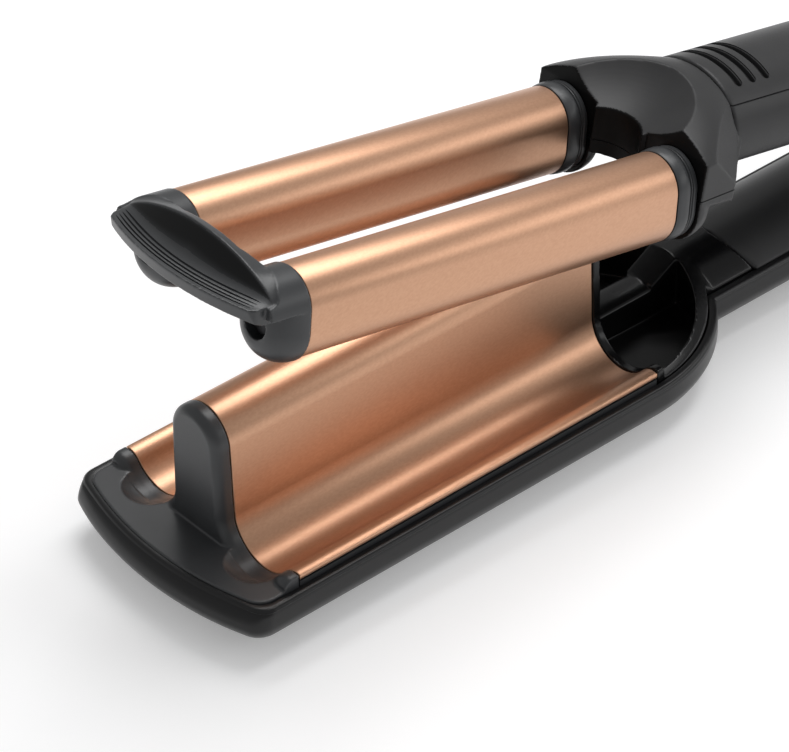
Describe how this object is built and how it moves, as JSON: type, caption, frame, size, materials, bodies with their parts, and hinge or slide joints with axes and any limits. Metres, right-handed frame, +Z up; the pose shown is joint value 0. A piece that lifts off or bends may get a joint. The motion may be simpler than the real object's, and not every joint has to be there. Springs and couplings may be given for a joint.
{
  "type": "hair waver",
  "caption": "Hair waver: two heated barrels on a hinged upper arm close into a heated wave-shaped plate on the lower arm, with a cool tip, grip, buttons and a cord outlet.",
  "frame": {"origin": "middle of the bounding box at its lowest level, under the lower casing's flat base", "axes": "+X from the cool tip towards the hinge and cord outlet, +Y to the far side of the pictured view, +Z up"},
  "size_m": [0.3446, 0.0692, 0.0976],
  "materials": {
    "copper coating": "satin rose-gold coating with a fine grain",
    "black plastic": "satin black",
    "grey heat plastic": "satin charcoal, a little bluish",
    "button plastic": "semi-gloss charcoal",
    "lens": "clear amber",
    "steel": "zinc plated",
    "aluminium": "as extruded",
    "ceramic": "off-white heat-resistant",
    "circuit board": "green solder mask"
  },
  "bodies": {
    "lower_half": {"lower_casing": "black plastic", "front_bezel": "grey heat plastic", "rear_bezel": "black plastic", "wave_plate": "copper coating", "plate_tray": "grey heat plastic", "thermal_fuse": "steel", "lower_handle_cover": "black plastic", "power_board": "circuit board", "hinge_pin": "steel", "return_spring": "steel", "plate_screw_1": "steel", "plate_screw_2": "steel", "cover_screw_1": "steel", "cover_screw_2": "steel", "plate_spreader_near": "aluminium", "plate_spreader_far": "aluminium", "plate_heater_near": "ceramic", "plate_heater_far": "ceramic", "hinge_cap_near": "steel", "hinge_cap_far": "steel"},
    "upper_half": {"cool_tip": "grey heat plastic", "yoke_top": "black plastic", "yoke_bottom": "black plastic", "upper_handle_cover": "black plastic", "upper_handle_shell": "black plastic", "control_board": "circuit board", "handle_screw_1": "steel", "handle_screw_2": "steel", "indicator_lens_1": "lens", "indicator_lens_2": "lens", "indicator_lens_3": "lens", "barrel_near": "copper coating", "barrel_far": "copper coating", "barrel_core_near": "aluminium", "barrel_core_far": "aluminium", "barrel_heater_near": "ceramic", "barrel_heater_far": "ceramic", "collar_near": "grey heat plastic", "collar_far": "grey heat plastic", "tip_screw_near": "steel", "tip_screw_far": "steel", "yoke_screw_near": "steel", "yoke_screw_far": "steel"},
    "power_button": {"power_button": "button plastic"},
    "heat_up_button": {"heat_up_button": "button plastic"},
    "heat_down_button": {"heat_down_button": "button plastic"},
    "cord_swivel": {"cord_swivel": "button plastic"}
  },
  "joints": [
    {"name": "jaw_hinge", "type": "hinge", "parent": "lower_half", "child": "upper_half", "pos_m": [0.14145, 0, 0.0175], "axis": [0, 1, 0], "range_deg": [-11.2, 0], "stiffness_Nm_per_rad": 2, "springref_deg": 22.92},
    {"name": "power_button_press", "type": "slide", "parent": "upper_half", "child": "power_button", "axis": [-0.1942, 0, -0.981], "range_m": [0, 0.0008], "stiffness_N_per_m": 900, "springref_m": -0.0006},
    {"name": "heat_up_button_press", "type": "slide", "parent": "upper_half", "child": "heat_up_button", "axis": [-0.1942, 0, -0.981], "range_m": [0, 0.0008], "stiffness_N_per_m": 900, "springref_m": -0.0006},
    {"name": "heat_down_button_press", "type": "slide", "parent": "upper_half", "child": "heat_down_button", "axis": [-0.1942, 0, -0.981], "range_m": [0, 0.0008], "stiffness_N_per_m": 900, "springref_m": -0.0006},
    {"name": "cord_turn", "type": "hinge", "parent": "lower_half", "child": "cord_swivel", "pos_m": [0.16425, 0, 0.0084], "axis": [1, 0, 0], "continuous": true}
  ]
}
